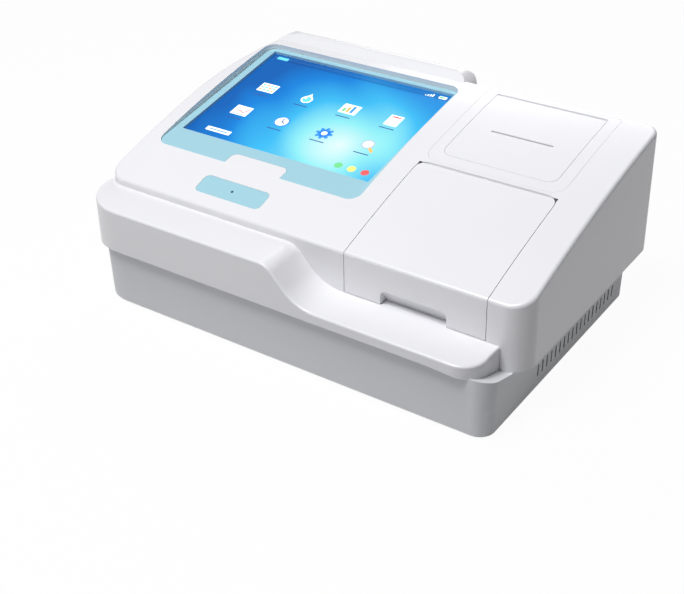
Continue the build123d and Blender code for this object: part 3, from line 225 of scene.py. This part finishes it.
def surfaceMaterial(name, group, values, bump, coat=0.0, metallic=0.0):
    mat, nodes, links = newMaterial(name)
    effect = addEffect(nodes, group, values)
    relief = addNode(nodes, "ShaderNodeBump")
    relief.inputs["Strength"].default_value = bump
    relief.inputs["Distance"].default_value = surfaceFacts["reliefDistance"]
    links.new(effect.outputs["Height"], relief.inputs["Height"])
    addShader(nodes, links, {
        "Metallic": metallic,
        "Coat Weight": coat,
        "Coat Roughness": surfaceFacts["coatRoughness"],
        "Specular IOR Level": surfaceFacts["specular"],
        "Normal": relief.outputs["Normal"],
        "Base Color": effect.outputs["Colour"],
        "Roughness": effect.outputs["Roughness"],
    })
    return mat


def plasticMaterial(name, colour, gloss, grain=1800.0, bump=0.12, coat=0.0, flow=0.03):
    values = {
        "Colour": (*colour, 1), "GrainScale": grain, "FlowAmount": flow,
        "Gloss": gloss, "GlossSpread": surfaceFacts["spread"],
    }
    return surfaceMaterial(name, mouldedGroup, values, bump, coat)


def metalMaterial(name, colour, gloss, stretch=(40, 900, 900), bump=0.15):
    values = {"Colour": (*colour, 1), "Stretch": stretch, "Gloss": gloss}
    return surfaceMaterial(name, brushedGroup, values, bump, metallic=1.0)


def glassMaterial(name, colour, roughness):
    mat, nodes, links = newMaterial(name)
    effect = addEffect(nodes, mouldedGroup, {
        "Colour": (*colour, 1), "FlowAmount": glassFacts["flow"],
        "Gloss": roughness, "GlossSpread": glassFacts["glossSpread"],
    })
    addShader(nodes, links, {
        "Transmission Weight": glassFacts["transmission"],
        "IOR": glassFacts["index"],
        "Base Color": effect.outputs["Colour"],
        "Roughness": effect.outputs["Roughness"],
    })
    return mat


def colourRamp(nodes, links, factor, stops):
    node = addNode(nodes, "ShaderNodeValToRGB")
    while len(node.color_ramp.elements) < len(stops):
        node.color_ramp.elements.new(0.5)
    for element, (place, colour) in zip(node.color_ramp.elements, stops):
        element.position = place
        element.color = (*colour, 1)
    links.new(factor, node.inputs[0])
    return node.outputs[0]


screenFacts = {
    "origin": (-0.09235, -0.06215, 0.129666),  # middle of the bezel's front edge
    "slope": 10.8,
    "windowMiddle": (0.00125, 0.1106),
    "glassDepth": 0.003,
    "glowPlace": (0.052, -0.036),
    "glowReach": 0.165,
    "headerHeight": 0.070,
    "skyStops": [  # from the middle of the glow outwards
        (0.05, (0.78, 0.98, 0.97)), (0.27, (0.30, 0.88, 0.93)), (0.50, (0.05, 0.52, 0.92)),
        (0.78, (0.008, 0.24, 0.75)), (1.0, (0.006, 0.13, 0.50)),
    ],
    "swirl": {"Scale": 7, "Distortion": 5, "Detail": 1},
    "swirlReach": 0.012,
    "headerColour": (0.0, 0.06, 0.28, 1),
    "headerShade": 0.35,
    "unlitShare": (0.30, 0.30, 0.30, 1),
    "cellScale": 30,
    "gloss": 0.10,
    "glossSpread": 0.03,
    "light": 0.72,
    "coat": 0.2,
}


def screenPoint(across, up, lift):
    tilt = radians(screenFacts["slope"])
    x, y, z = screenFacts["origin"]
    lift -= screenFacts["glassDepth"]
    back, rise = up * cos(tilt) - lift * sin(tilt), up * sin(tilt) + lift * cos(tilt)
    return Vector((x + across, y + back, z + rise))


def litScreenMaterial(name, facts):
    mat, nodes, links = newMaterial(name)
    local = addNode(nodes, "ShaderNodeMapping", vector_type="TEXTURE")
    local.inputs["Location"].default_value = screenPoint(*facts["windowMiddle"], 0)
    local.inputs["Rotation"].default_value = (radians(facts["slope"]), 0, 0)
    links.new(objectPlace(nodes), local.inputs["Vector"])
    place = local.outputs[0]
    away = addNode(nodes, "ShaderNodeVectorMath", operation="DISTANCE")
    links.new(place, away.inputs[0])
    away.inputs[1].default_value = (*facts["glowPlace"], 0)
    swirl = addNode(nodes, "ShaderNodeTexWave", wave_type="BANDS", bands_direction="DIAGONAL")
    for label, value in facts["swirl"].items():
        swirl.inputs[label].default_value = value
    links.new(place, swirl.inputs["Vector"])
    glow, reach = away.outputs["Value"], facts["swirlReach"]
    bend = maths(nodes, links, "MULTIPLY_ADD", swirl.outputs["Fac"], reach, glow)
    share = maths(nodes, links, "DIVIDE", bend, facts["glowReach"])
    sky = colourRamp(nodes, links, share, facts["skyStops"])
    split = addNode(nodes, "ShaderNodeSeparateXYZ")
    links.new(place, split.inputs[0])
    header = maths(nodes, links, "GREATER_THAN", split.outputs["Y"], facts["headerHeight"])
    shaded = maths(nodes, links, "MULTIPLY", header, facts["headerShade"])
    picture = mixColours(nodes, links, shaded, sky, facts["headerColour"])
    cells = addNoise(nodes, links, place, facts["cellScale"])  # faint unevenness in the gloss of the screen
    gloss = maths(nodes, links, "MULTIPLY_ADD", cells, facts["glossSpread"], facts["gloss"])
    addShader(nodes, links, {
        "Base Color": mixColours(nodes, links, 1.0, picture, facts["unlitShare"], "MULTIPLY"),
        "Emission Color": picture,
        "Emission Strength": facts["light"],
        "Roughness": gloss,
        "Coat Weight": facts["coat"],
    })
    return mat


signLook = {
    "speckScale": 260,
    "speckShare": 0.12,
    "speckColour": (0.4, 0.6, 0.8, 1),
    "gloss": 0.14,
    "glossSpread": 0.05,
    "light": 0.6,
}


def signMaterial(name, colour, look):
    mat, nodes, links = newMaterial(name)
    speck = addNoise(nodes, links, objectPlace(nodes), look["speckScale"])
    share = maths(nodes, links, "MULTIPLY", speck, look["speckShare"])
    tint = mixColours(nodes, links, share, (*colour, 1), look["speckColour"])
    addShader(nodes, links, {
        "Base Color": tint,
        "Emission Color": tint,
        "Emission Strength": look["light"],
        "Roughness": maths(nodes, links, "MULTIPLY_ADD", speck, look["glossSpread"], look["gloss"]),
    })
    return mat


# name, colour, gloss and then what differs from a plain moulding or a plain sheet
plasticFacts = {
    "white_shell": ("whiteShell", (0.80, 0.80, 0.83), 0.33, {"coat": 0.25}),
    "base_shell": ("greyBaseShell", (0.70, 0.71, 0.74), 0.42, {"bump": 0.2}),
    "blue_trim": ("paleBlueTrim", (0.36, 0.62, 0.72), 0.28, {"coat": 0.3, "bump": 0.05}),
    "black_plastic": ("blackMoulding", (0.022, 0.022, 0.025), 0.5, {"bump": 0.25}),
    "grey_plastic": ("greyMoulding", (0.12, 0.125, 0.13), 0.5, {"bump": 0.25}),
    "rubber": ("blackRubber", (0.02, 0.02, 0.02), 0.75, {"grain": 900, "bump": 0.4}),
    "paper": ("thermalPaper", (0.85, 0.85, 0.82), 0.7, {"grain": 2600, "bump": 0.2}),
    "board": ("greenBoard", (0.02, 0.12, 0.05), 0.35, {"flow": 0.3}),
    "led": ("darkLamp", (0.02, 0.05, 0.07), 0.15, {"coat": 0.5}),
    "black_metal": (
        "blackAnodised", (0.03, 0.03, 0.034), 0.4, {"grain": 3000, "bump": 0.15, "coat": 0.1},
    ),
}
metalFacts = {
    "steel": ("foldedSteel", (0.55, 0.56, 0.58), 0.38, {}),
    "rod_steel": ("groundRod", (0.62, 0.63, 0.65), 0.16, {"stretch": (900, 60, 900)}),
    "aluminium": ("milledAluminium", (0.66, 0.67, 0.69), 0.32, {}),
    "brass": ("turnedBrass", (0.72, 0.52, 0.24), 0.25, {"stretch": (60, 900, 900)}),
}
slotMaterials = {
    slot: make(name, colour, gloss, **more)
    for make, facts in ((plasticMaterial, plasticFacts), (metalMaterial, metalFacts))
    for slot, (name, colour, gloss, more) in facts.items()
}
slotMaterials["screen_glass"] = litScreenMaterial("litTouchScreen", screenFacts)
slotMaterials["clear_glass"] = glassMaterial("clearGlass", (0.9, 0.94, 0.96), 0.03)


def dressNodes():
    for part in frame["record"]["subparts"]:
        slot = part.get("material_slot")
        node = frame["nodes"].get(part["node"])
        if node is None or slot not in slotMaterials:
            continue
        node.data.materials.clear()
        node.data.materials.append(slotMaterials[slot])


dressNodes()
print("stage: casing and inner pieces dressed")


# signs on the screen are flat shapes just over the glass
signColours = {
    "white": (0.86, 0.90, 0.92),
    "blue": (0.02, 0.22, 0.62),
    "navy": (0.01, 0.05, 0.22),
    "green": (0.12, 0.50, 0.16),
    "orange": (0.85, 0.36, 0.04),
    "red": (0.62, 0.06, 0.05),
    "grey": (0.36, 0.42, 0.48),
    "cyan": (0.10, 0.55, 0.78),
    "yellow": (0.88, 0.68, 0.12),
}
signMaterials = {}
for colourName, colour in signColours.items():
    signMaterials[colourName] = signMaterial(colourName + "Sign", colour, signLook)

# each shape is (kind, across, up, width, height, turn, colour, layer), in millimetres and degrees
signFacts = {
    "screenTraySign": {"place": (-76, 130), "shapes": [("slab", 0, 0, 21, 15, 0, "white", 0)] + [
        ("disc", -7.5 + 5 * i, -4 + 4 * j, 2.8, 2.8, 0, "cyan" if (i + j) % 3 else "orange", 1)
        for i in range(4) for j in range(3)
    ]},
    "screenDropSign": {"place": (-25, 130), "shapes": [
        ("disc", 0, -2, 13, 13, 0, "white", 0),
        ("drop", 0, 4.6, 8, 9, 0, "white", 0),
        ("disc", 0, -2, 9.5, 9.5, 0, "cyan", 1),
        ("disc", -2, -0.5, 2.4, 3.4, -20, "white", 2),
    ]},
    "screenBarsSign": {"place": (27, 130), "shapes": [
        ("slab", 0, 0, 20, 16, 0, "white", 0),
        ("slab", -5.5, -2.5, 3.2, 6, 0, "green", 1),
        ("slab", -1, -1, 3.2, 9, 0, "orange", 1),
        ("slab", 3.5, 0.3, 3.2, 11.5, 0, "blue", 1),
    ]},
    "screenPageSign": {"place": (79, 130), "shapes": [
        ("slab", 0, 0, 15, 18, 0, "white", 0),
        ("slab", 0, 6, 10, 2, 0, "red", 1),
        *(("slab", 0, 2 - 3 * i, 10, 0.9, 0, "grey", 1) for i in range(3)),
    ]},
    "screenCurveSign": {"place": (-76, 84), "shapes": [
        ("slab", 0, 0, 20, 16, 0, "white", 0),
        ("slab", -4.8, -2.6, 8, 1.2, 35, "red", 1),
        ("slab", 1, -1.6, 5.6, 1.2, -32, "red", 1),
        ("slab", 5.6, 0.8, 8.5, 1.2, 55, "red", 1),
        ("slab", 0, -6.2, 16, 0.8, 0, "navy", 1),
    ]},
    "screenDialSign": {"place": (-25, 84), "shapes": [
        ("disc", 0, 0, 18, 18, 0, "blue", 0),
        ("disc", 0, 0, 14, 14, 0, "white", 1),
        ("slab", 0, 2.6, 1.3, 6, 0, "navy", 2),
        ("slab", 2, -1, 5, 1.3, -30, "navy", 2),
    ]},
    "screenCogSign": {"place": (27, 84), "shapes": [
        *(("slab", 0, 0, 19, 3.6, 45 * i, "blue", 0) for i in range(4)),
        ("disc", 0, 0, 14, 14, 0, "blue", 0),
        ("disc", 0, 0, 6.5, 6.5, 0, "white", 1),
    ]},
    "screenLensSign": {"place": (79, 84), "shapes": [
        ("slab", 5.6, -5.6, 9, 3, -45, "orange", 0),
        ("disc", -1.5, 1.5, 14, 14, 0, "grey", 1),
        ("disc", -1.5, 1.5, 10.5, 10.5, 0, "white", 2),
    ]},
    "screenFootSigns": {"place": (0, 45), "shapes": [
        ("slab", -76, 0, 30, 6.5, 0, "white", 0),
        ("slab", -76, 0, 24, 1.4, 0, "blue", 1),
        ("disc", 70, 0, 8.5, 8.5, 0, "green", 0),
        ("disc", 85, 0, 8.5, 8.5, 0, "yellow", 0),
        ("disc", 100, 0, 8.5, 8.5, 0, "red", 0),
    ]},
    "screenHeadSigns": {"place": (0, 184.5), "shapes": [
        ("slab", -96, 0, 14, 5, 0, "cyan", 0),
        ("slab", 103, 0, 9, 4.6, 0, "white", 0),
        ("slab", 102, 0, 5, 2.4, 0, "green", 1),
        *(
            ("slab", 84 + 2.6 * i, -1.6 + 0.6 * i, 1.6, 1.6 + 1.2 * i, 0, "white", 0)
            for i in range(4)
        ),
    ]},
}
signSizes = {
    "layer": 0.05,
    "cover": 0.02,  # how far the signs stand over the glass
    "cornerRound": 0.9,
    "roundShare": 0.3,  # of the shorter side, where that is less
    "cornerSegments": 3,
    "sides": {"disc": 28, "drop": 3},
    "captionDrop": -14.0,
    "caption": (17, 1.3),
}
mm = 0.001


def clearSelection():
    if bpy.context.object and bpy.context.object.mode != "OBJECT":
        bpy.ops.object.mode_set(mode="OBJECT")
    bpy.ops.object.select_all(action="DESELECT")


def pick(obj):
    clearSelection()
    obj.select_set(True)
    bpy.context.view_layer.objects.active = obj


def settle(obj):
    # leaves the object at the origin, unturned, with its place in its mesh
    pick(obj)
    bpy.ops.object.transform_apply(location=True, rotation=True, scale=True)


def applyModifier(obj, kind, **settings):
    step = obj.modifiers.new(kind.lower(), kind)
    for key, value in settings.items():
        setattr(step, key, value)
    bpy.ops.object.modifier_apply(modifier=step.name)


def joinShapes(shapes, name):
    clearSelection()
    for shape in shapes:
        shape.select_set(True)
    bpy.context.view_layer.objects.active = shapes[0]
    if len(shapes) > 1:
        bpy.ops.object.join()
    shapes[0].name = name
    shapes[0].data.name = name
    return shapes[0]


def addSignShape(kind, across, up, width, height, turn, colour, layer):
    clearSelection()
    where = {"location": (across * mm, up * mm, 0), "rotation": (0, 0, radians(turn))}
    if kind == "slab":
        bpy.ops.mesh.primitive_plane_add(size=1, **where)
    else:
        sides = signSizes["sides"][kind]
        bpy.ops.mesh.primitive_circle_add(vertices=sides, radius=0.5, fill_type="NGON", **where)
    shape = bpy.context.object
    shape.scale = (width * mm, height * mm, 1)
    settle(shape)
    if kind == "slab":
        corner = min(signSizes["cornerRound"], signSizes["roundShare"] * min(width, height)) * mm
        bpy.ops.object.mode_set(mode="EDIT")
        bpy.ops.mesh.select_all(action="SELECT")
        bpy.ops.mesh.bevel(offset=corner, segments=signSizes["cornerSegments"], affect="VERTICES")
        bpy.ops.object.mode_set(mode="OBJECT")
    thickness = signSizes["layer"] * mm * (layer + 1)
    applyModifier(shape, "SOLIDIFY", thickness=thickness, offset=1)
    shape.data.materials.append(signMaterials[colour])
    return shape


def addScreenSign(name, facts):
    shapes = [addSignShape(*shape) for shape in facts["shapes"]]
    if "Signs" not in name:
        drop, caption = signSizes["captionDrop"], signSizes["caption"]
        shapes.append(addSignShape("slab", 0, drop, *caption, 0, "navy", 0))
    sign = joinShapes(shapes, name)
    across, up = facts["place"]
    sign.location = screenPoint(across * mm, up * mm, signSizes["cover"] * mm)
    sign.rotation_euler = (radians(screenFacts["slope"]), 0, 0)
    settle(sign)
    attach(sign, "base")


for signName, facts in signFacts.items():
    addScreenSign(signName, facts)
print("stage: screen signs drawn")


# the bumper is a copy of its solid, with a tighter right end
bumperFacts = {
    "end": {"edge": 0.2075, "solidRound": 0.043, "round": 0.022},
    "frontEdge": -0.16275,
    "weld": 0.00001,
    "smoothAngle": 35,
    "flatWeight": 80,
}
tiny = 1e-6


def roundedReach(angle, half, radius):
    # distance from the middle of a square's quarter to its edge, where the corner has this radius
    inner = half - radius
    if half * math.tan(angle) <= inner:
        return half / cos(angle)
    if half / math.tan(angle) <= inner:
        return half / sin(angle)
    along = inner * (cos(angle) + sin(angle))
    return along + math.sqrt(along * along - 2 * inner * inner + radius * radius)


def tightenEnd(mesh, end, front):
    solidRound = end["solidRound"]
    midX, midY = end["edge"] - solidRound, front + solidRound
    for vert in mesh.vertices:
        outX, outY = vert.co.x - midX, midY - vert.co.y
        if min(outX, outY) <= tiny:  # only the quarter that the round end fills
            continue
        reach = math.hypot(outX, outY)
        edge = roundedReach(math.atan2(outY, outX), solidRound, end["round"])
        grown = reach + (edge - solidRound) * (reach / solidRound) ** 2
        vert.co.x = midX + outX * grown / reach
        vert.co.y = midY - outY * grown / reach


def addBumper(facts):
    source = frame["nodes"]["front_fascia"]
    bumper = bpy.data.objects.new("frontBumper", source.data.copy())
    bpy.context.collection.objects.link(bumper)
    bumper.matrix_world = source.matrix_world
    settle(bumper)
    bpy.ops.object.mode_set(mode="EDIT")
    bpy.ops.mesh.select_all(action="SELECT")
    bpy.ops.mesh.remove_doubles(threshold=facts["weld"])
    bpy.ops.object.mode_set(mode="OBJECT")
    tightenEnd(bumper.data, facts["end"], facts["frontEdge"])
    bpy.ops.mesh.customdata_custom_splitnormals_clear()
    bpy.ops.object.shade_smooth_by_angle(angle=radians(facts["smoothAngle"]))
    # weighted normals keep the flat faces flat in the shading
    applyModifier(bumper, "WEIGHTED_NORMAL", keep_sharp=True, weight=facts["flatWeight"])
    bumper.data.materials.clear()
    bumper.data.materials.append(slotMaterials["white_shell"])
    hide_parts("front_fascia")
    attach(bumper, "base")


addBumper(bumperFacts)
print("stage: bumper fitted")


# the sill lies under the front of the plate lid and shows through the finger scoop
sillFacts = {
    "middle": 0.1228,
    "width": 0.139,
    "front": -0.1186,
    "depth": 0.0125,
    "top": 0.0719,
    "thick": 0.0015,
    "rim": 0.002,
    "edgeRound": 0.0005,
}


def addSill(facts):
    clearSelection()
    place = (facts["middle"], facts["front"] + facts["depth"] / 2, facts["top"])
    bpy.ops.mesh.primitive_plane_add(size=1, location=place)
    sill = bpy.context.object
    sill.name = "lidSill"
    sill.scale = (facts["width"], facts["depth"], 1)
    settle(sill)
    bpy.ops.object.mode_set(mode="EDIT")
    bpy.ops.mesh.select_all(action="SELECT")
    bpy.ops.mesh.inset(thickness=facts["rim"])
    bpy.ops.object.mode_set(mode="OBJECT")
    applyModifier(sill, "SOLIDIFY", thickness=facts["thick"], offset=-1)
    applyModifier(sill, "BEVEL", width=facts["edgeRound"], segments=2)
    sill.data.materials.append(slotMaterials["white_shell"])
    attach(sill, "base")


addSill(sillFacts)
print("stage: sill laid")


# screws of the rear panel and of the serial socket, as (across, up)
screwFacts = {
    "panelScrews": {
        "places": [(across, up) for across in (-0.0705, 0.1105, 0.029) for up in (0.0135, 0.0385)],
        "rear": 0.12715,
        "headRadius": 0.0024,
        "headHeight": 0.0011,
        "slotWidth": 0.0006,
        "slotDepth": 0.0006,
    },
    "serialScrews": {
        "places": [(-0.0172, 0.026), (0.0072, 0.026)],
        "rear": 0.12795,
        "headRadius": 0.0017,
        "headHeight": 0.0024,
        "slotWidth": 0.0005,
        "slotDepth": 0.0007,
    },
}
screwShape = {"sides": 24, "edgeShare": 0.35, "edgeSteps": 3, "slotShare": 1.5, "smoothAngle": 30}


def cutSlot(head, place, facts, size):
    clearSelection()
    bpy.ops.mesh.primitive_cube_add(size=1, location=place)
    cutter = bpy.context.object
    cutter.scale = (size[0], facts["slotDepth"] * 2, size[1])
    settle(cutter)
    pick(head)
    applyModifier(head, "BOOLEAN", object=cutter, operation="DIFFERENCE", solver="EXACT")
    bpy.data.objects.remove(cutter)


def addScrewHead(across, up, facts):
    clearSelection()
    rear, height, radius = facts["rear"], facts["headHeight"], facts["headRadius"]
    bpy.ops.mesh.primitive_cylinder_add(
        vertices=screwShape["sides"], radius=radius, depth=height,
        location=(across, rear + height / 2, up), rotation=(-pi / 2, 0, 0),
    )
    head = bpy.context.object
    edge = height * screwShape["edgeShare"]
    applyModifier(head, "BEVEL", width=edge, segments=screwShape["edgeSteps"])
    length, width = radius * screwShape["slotShare"], facts["slotWidth"]
    for size in ((length, width), (width, length)):  # the two arms of the cross slot
        cutSlot(head, (across, rear + height, up), facts, size)
    settle(head)
    return head


def addScrews(name, facts):
    heads = [addScrewHead(across, up, facts) for across, up in facts["places"]]
    screws = joinShapes(heads, name)
    bpy.ops.object.shade_smooth_by_angle(angle=radians(screwShape["smoothAngle"]))
    screws.data.materials.append(slotMaterials["steel"])
    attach(screws, "base")


for screwName, facts in screwFacts.items():
    addScrews(screwName, facts)
print("stage: rear screws added")


floorFacts = {"size": 12, "colour": (0.45, 0.45, 0.45, 1), "glow": 1.03, "glowShare": 0.93}
worldFacts = {"light": 0.11, "roomColour": (0.98, 0.98, 1.0, 1), "seenColour": (1, 1, 1, 1)}


def rayShare(nodes, links, *kinds):
    # 1 on the rays of these kinds, and 0 on those that light the object
    path = addNode(nodes, "ShaderNodeLightPath")
    share = path.outputs[kinds[0]]
    for kind in kinds[1:]:
        share = maths(nodes, links, "MAXIMUM", share, path.outputs[kind])
    return share


def blendOut(nodes, links, share, first, second, kind):
    mix = addNode(nodes, "ShaderNodeMixShader")
    for place, value in enumerate((share, first.outputs[0], second.outputs[0])):
        links.new(value, mix.inputs[place])
    links.new(mix.outputs[0], addNode(nodes, kind).inputs[0])


def addFloor(facts):
    clearSelection()
    bpy.ops.mesh.primitive_plane_add(size=facts["size"], location=(0, 0, 0))
    floor = bpy.context.object
    floor.name = "paleFloor"
    mat, nodes, links = newMaterial("paleFloor")
    matte = addNode(nodes, "ShaderNodeBsdfDiffuse")
    matte.inputs["Color"].default_value = facts["colour"]
    glow = addNode(nodes, "ShaderNodeEmission")
    glow.inputs["Strength"].default_value = facts["glow"]
    seen = rayShare(nodes, links, "Is Camera Ray", "Is Glossy Ray", "Is Transmission Ray")
    share = maths(nodes, links, "MULTIPLY", seen, facts["glowShare"])
    blendOut(nodes, links, share, matte, glow, "ShaderNodeOutputMaterial")
    floor.data.materials.append(mat)


def setWorld(facts):
    world = bpy.data.worlds.new("paleRoom")
    world.use_nodes = True
    bpy.context.scene.world = world
    nodes, links = world.node_tree.nodes, world.node_tree.links
    nodes.clear()
    room = addNode(nodes, "ShaderNodeBackground")
    room.inputs["Color"].default_value = facts["roomColour"]
    room.inputs["Strength"].default_value = facts["light"]
    white = addNode(nodes, "ShaderNodeBackground")
    white.inputs["Color"].default_value = facts["seenColour"]
    seen = rayShare(nodes, links, "Is Camera Ray", "Is Transmission Ray")
    blendOut(nodes, links, seen, room, white, "ShaderNodeOutputWorld")


lampFacts = {
    "topLamp": {"place": (-0.25, -0.62, 1.8), "size": 0.8, "power": 31.5},
    "backLamp": {"place": (-0.7, 2.0, 1.1), "size": 1.2, "power": 16},
    "frontLamp": {"place": (-0.1, -1.7, 1.5), "size": 0.6, "power": 5.5},
}
lampAim = Vector((0, 0, 0.1))  # the middle of the casing


def addLamp(name, facts):
    data = bpy.data.lights.new(name, "AREA")
    data.size = facts["size"]
    data.energy = facts["power"]
    lamp = bpy.data.objects.new(name, data)
    bpy.context.collection.objects.link(lamp)
    lamp.location = facts["place"]
    aim = lampAim - Vector(facts["place"])
    lamp.rotation_euler = aim.to_track_quat("-Z", "Y").to_euler()


addFloor(floorFacts)
setWorld(worldFacts)
for lampName, facts in lampFacts.items():
    addLamp(lampName, facts)
print("stage: floor and lamps set")
